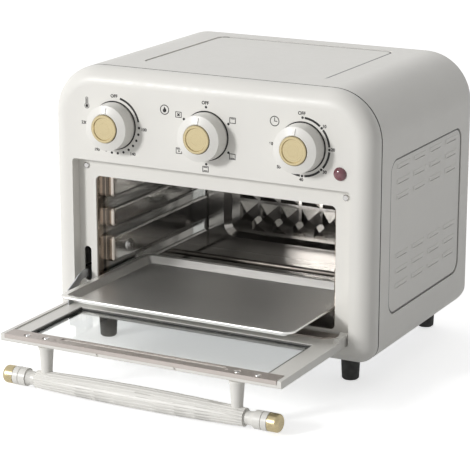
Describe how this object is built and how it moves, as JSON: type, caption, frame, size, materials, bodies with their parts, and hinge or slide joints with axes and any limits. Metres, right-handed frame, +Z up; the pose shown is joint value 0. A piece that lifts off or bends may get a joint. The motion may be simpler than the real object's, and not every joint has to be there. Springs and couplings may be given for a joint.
{
  "type": "air fryer oven",
  "caption": "Countertop air fryer oven with rolled cream body, dials over a drop-down glass door with a bar handle, ribbed steel chamber, pull-out baking tray and a fan in its ceiling.",
  "frame": {"origin": "on the counter, centred under the whole object as it stands with its door open", "axes": "+X to the right as seen from the front, +Y towards the back, +Z up"},
  "size_m": [0.38, 0.4167, 0.3146],
  "materials": {
    "cream_paint": "satin powder coat",
    "cream_plastic": "satin",
    "gold_metal": "fine brushed",
    "chamber_steel": "rolled sheet",
    "tray_steel": "pressed and polished",
    "trim_steel": "brushed",
    "zinc_steel": "zinc plated",
    "screw_steel": "plated",
    "element_steel": "heat darkened",
    "door_glass": "clear tempered",
    "black_rubber": "matte",
    "black_plastic": "matte",
    "lamp_lens": "glossy dark plum",
    "lamp_bulb": "clear",
    "white_ceramic": "unglazed",
    "motor_steel": "dark enamel",
    "fan_aluminium": "pressed sheet"
  },
  "bodies": {
    "housing": {"arm_spring": "screw_steel", "back_panel": "cream_paint", "back_screws": "screw_steel", "body_wrap": "cream_paint", "bottom_pan": "zinc_steel", "cavity_back": "chamber_steel", "cavity_ceiling": "chamber_steel", "cavity_floor": "chamber_steel", "cavity_left_wall": "chamber_steel", "cavity_right_wall": "chamber_steel", "control_bracket": "zinc_steel", "cord_gland": "black_plastic", "element_insulators": "white_ceramic", "fan_guard": "chamber_steel", "fan_housing": "zinc_steel", "fan_motor": "motor_steel", "foot_screws": "screw_steel", "front_frame": "cream_paint", "function_switch": "black_plastic", "hinge_pins": "screw_steel", "lower_heating_elements": "element_steel", "motor_bracket": "zinc_steel", "power_lamp": "lamp_bulb", "power_lens": "lamp_lens", "recess_screws": "screw_steel", "rubber_feet": "black_rubber", "sensor_plug": "screw_steel", "spring_anchor": "zinc_steel", "thermal_cutout": "white_ceramic", "thermostat": "black_plastic", "timer": "black_plastic", "upper_heating_elements": "element_steel"},
    "door": {"door_frame": "cream_paint", "door_glass": "door_glass", "door_gasket": "black_rubber", "door_trim_strip": "trim_steel", "door_hinge_strip": "trim_steel", "trim_screws": "screw_steel", "handle_screws": "screw_steel", "door_arm": "zinc_steel", "handle_grip": "cream_plastic", "handle_posts": "cream_plastic", "handle_collars": "cream_plastic", "handle_end_caps": "gold_metal"},
    "tray": {"baking_tray": "tray_steel"},
    "temperature_dial": {"temperature_knob": "cream_plastic", "temperature_cap": "gold_metal", "temperature_spindle": "screw_steel"},
    "function_dial": {"function_knob": "cream_plastic", "function_cap": "gold_metal", "function_spindle": "screw_steel"},
    "timer_dial": {"timer_knob": "cream_plastic", "timer_cap": "gold_metal", "timer_spindle": "screw_steel"},
    "fan": {"convection_fan": "fan_aluminium", "fan_shaft": "screw_steel", "cooling_fan": "fan_aluminium"}
  },
  "joints": [
    {"name": "door_hinge", "type": "hinge", "parent": "housing", "child": "door", "pos_m": [0, -0.04815, 0.0575], "axis": [-1, 0, 0], "range_deg": [0, 90], "deforming": ["arm_spring"]},
    {"name": "tray_slide", "type": "slide", "parent": "housing", "child": "tray", "axis": [0, 1, 0], "range_m": [0, 0.134]},
    {"name": "temperature_turn", "type": "hinge", "parent": "housing", "child": "temperature_dial", "pos_m": [-0.111, -0.05365, 0.2546], "axis": [0, 1, 0], "range_deg": [0, 270]},
    {"name": "function_turn", "type": "hinge", "parent": "housing", "child": "function_dial", "pos_m": [0, -0.05365, 0.2546], "axis": [0, 1, 0], "range_deg": [0, 300]},
    {"name": "timer_turn", "type": "hinge", "parent": "housing", "child": "timer_dial", "pos_m": [0.111, -0.05365, 0.2546], "axis": [0, 1, 0], "range_deg": [0, 270]},
    {"name": "fan_spin", "type": "hinge", "parent": "housing", "child": "fan", "pos_m": [0, 0.07735, 0], "axis": [0, 0, 1], "continuous": true}
  ],
  "couplings": [
    {"joint": "tray_slide", "follows": "door_hinge", "m_per_rad": 0.0853}
  ]
}
